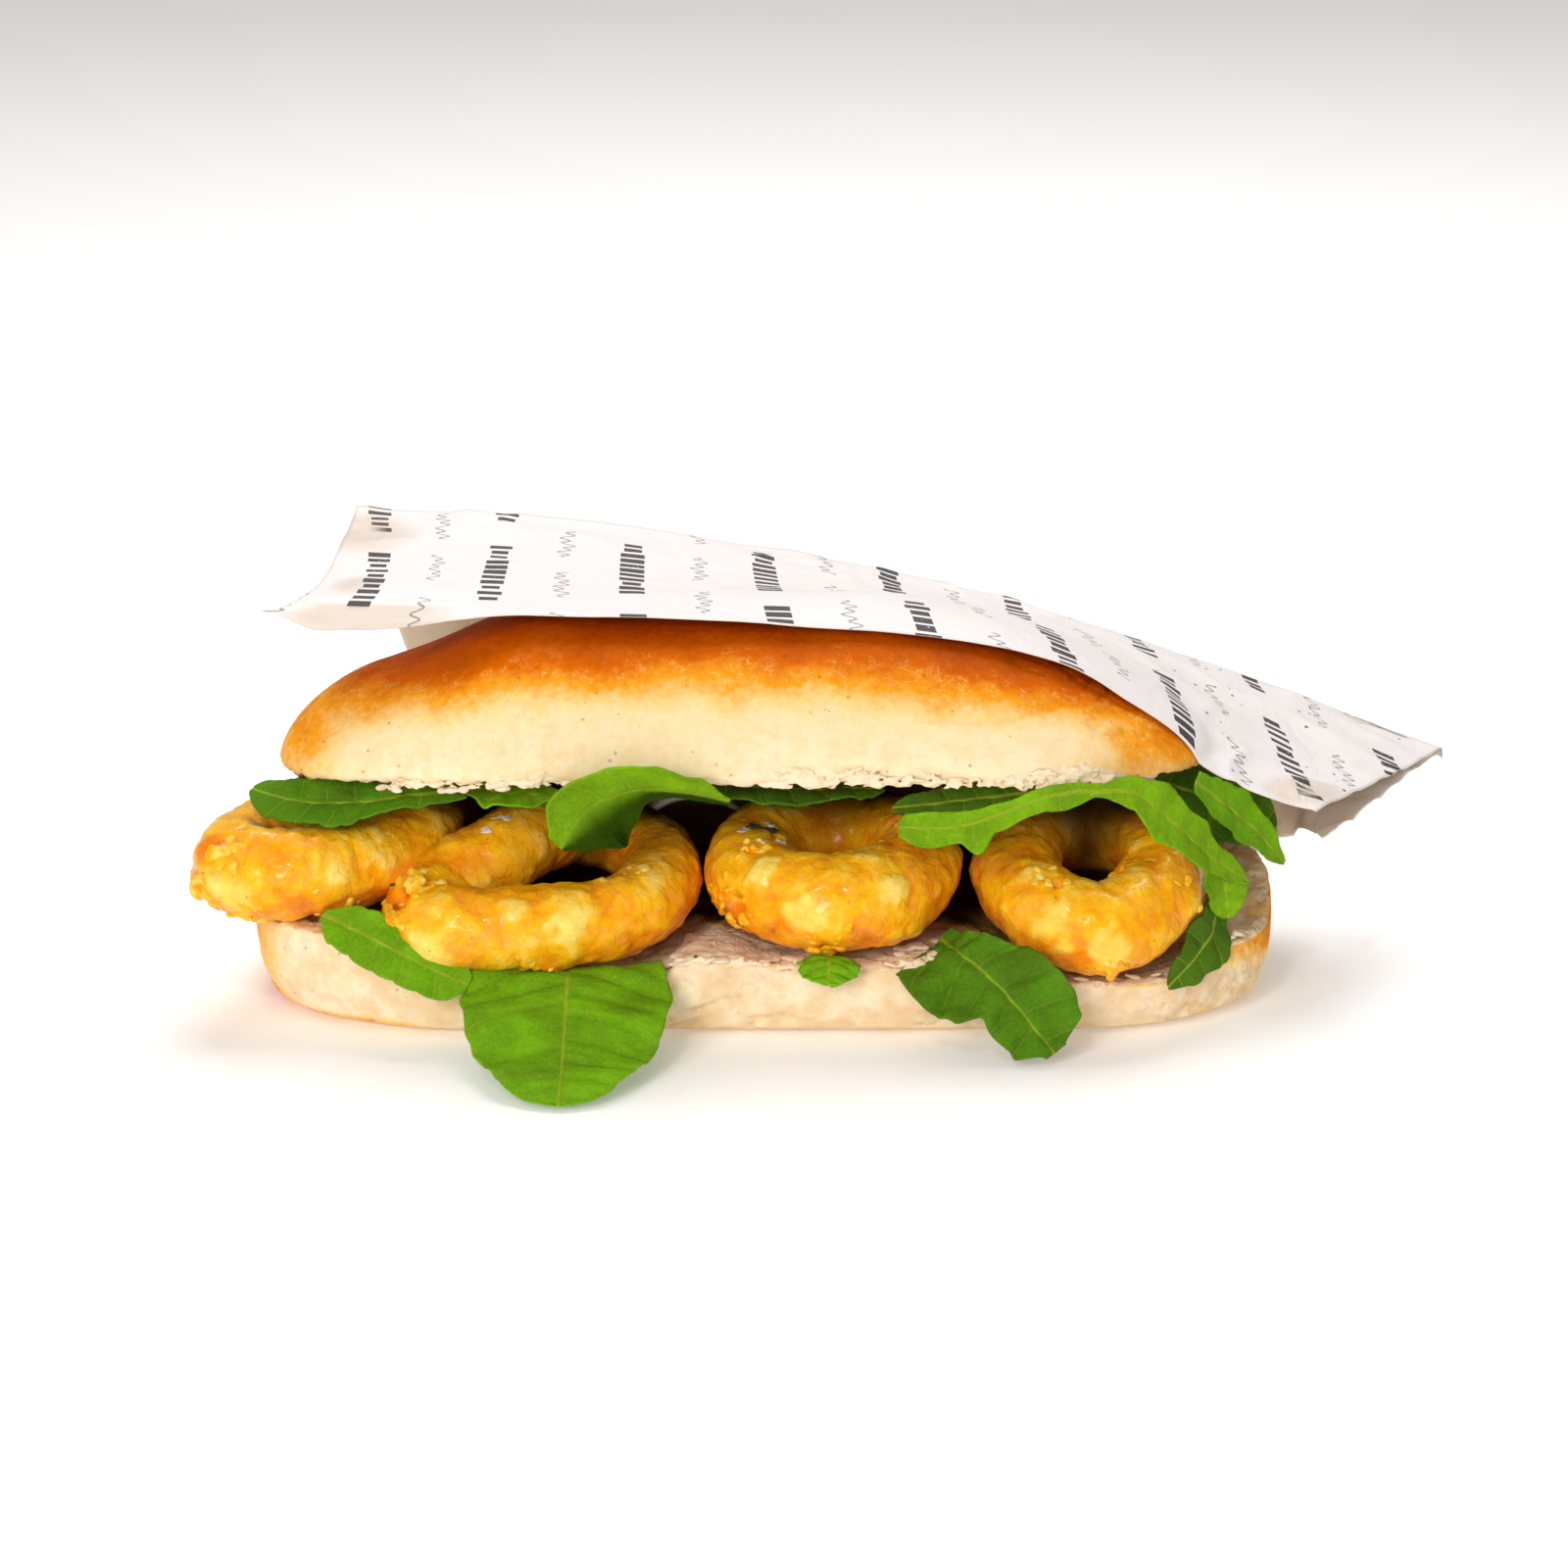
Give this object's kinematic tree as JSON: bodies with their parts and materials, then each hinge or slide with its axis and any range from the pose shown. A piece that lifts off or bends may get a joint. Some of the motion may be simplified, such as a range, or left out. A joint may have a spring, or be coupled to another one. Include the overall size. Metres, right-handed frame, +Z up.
{
  "type": "fried calamari sandwich in paper",
  "caption": "Long soft roll opened along one side and filled with battered squid rings and rocket leaves, with a folded greaseproof sleeve laid over its top and back.",
  "frame": {"origin": "centre of the roll's flat base, where it rests on the table", "axes": "+X along the roll towards the sleeve's long corner, -Y out of the roll's open front, +Z up"},
  "size_m": [0.2505, 0.1227, 0.0856],
  "materials": {
    "crust": "soft baked crust, brown on top and pale cream at the sides",
    "batter": "golden fried batter with a light sheen of oil",
    "rocket": "fresh leaf, slightly glossy",
    "onion": "moist and slightly translucent",
    "paper": "matt greaseproof paper with dark printed bars",
    "sauce": "thin glossy mayonnaise sauce"
  },
  "bodies": {
    "root": {"roll": "crust", "sleeve": "paper", "calamari_1": "batter", "calamari_2": "batter", "calamari_3": "batter", "calamari_4": "batter", "onion_strip": "onion", "rocket_leaf_left_end": "rocket", "rocket_leaf_roof_left": "rocket", "rocket_leaf_curled": "rocket", "rocket_leaf_roof_middle": "rocket", "rocket_leaf_dark": "rocket", "rocket_leaf_across": "rocket", "rocket_leaf_right_long": "rocket", "rocket_leaf_right_lobe": "rocket", "rocket_leaf_right_tip": "rocket", "rocket_leaf_right_back": "rocket", "rocket_leaf_over_rim": "rocket", "rocket_leaf_front_right": "rocket", "rocket_leaf_small_front": "rocket", "rocket_leaf_front_left": "rocket", "rocket_leaf_front_lobe": "rocket", "rocket_leaf_inside_left": "rocket", "rocket_leaf_inside_right": "rocket"}
  },
  "joints": []
}
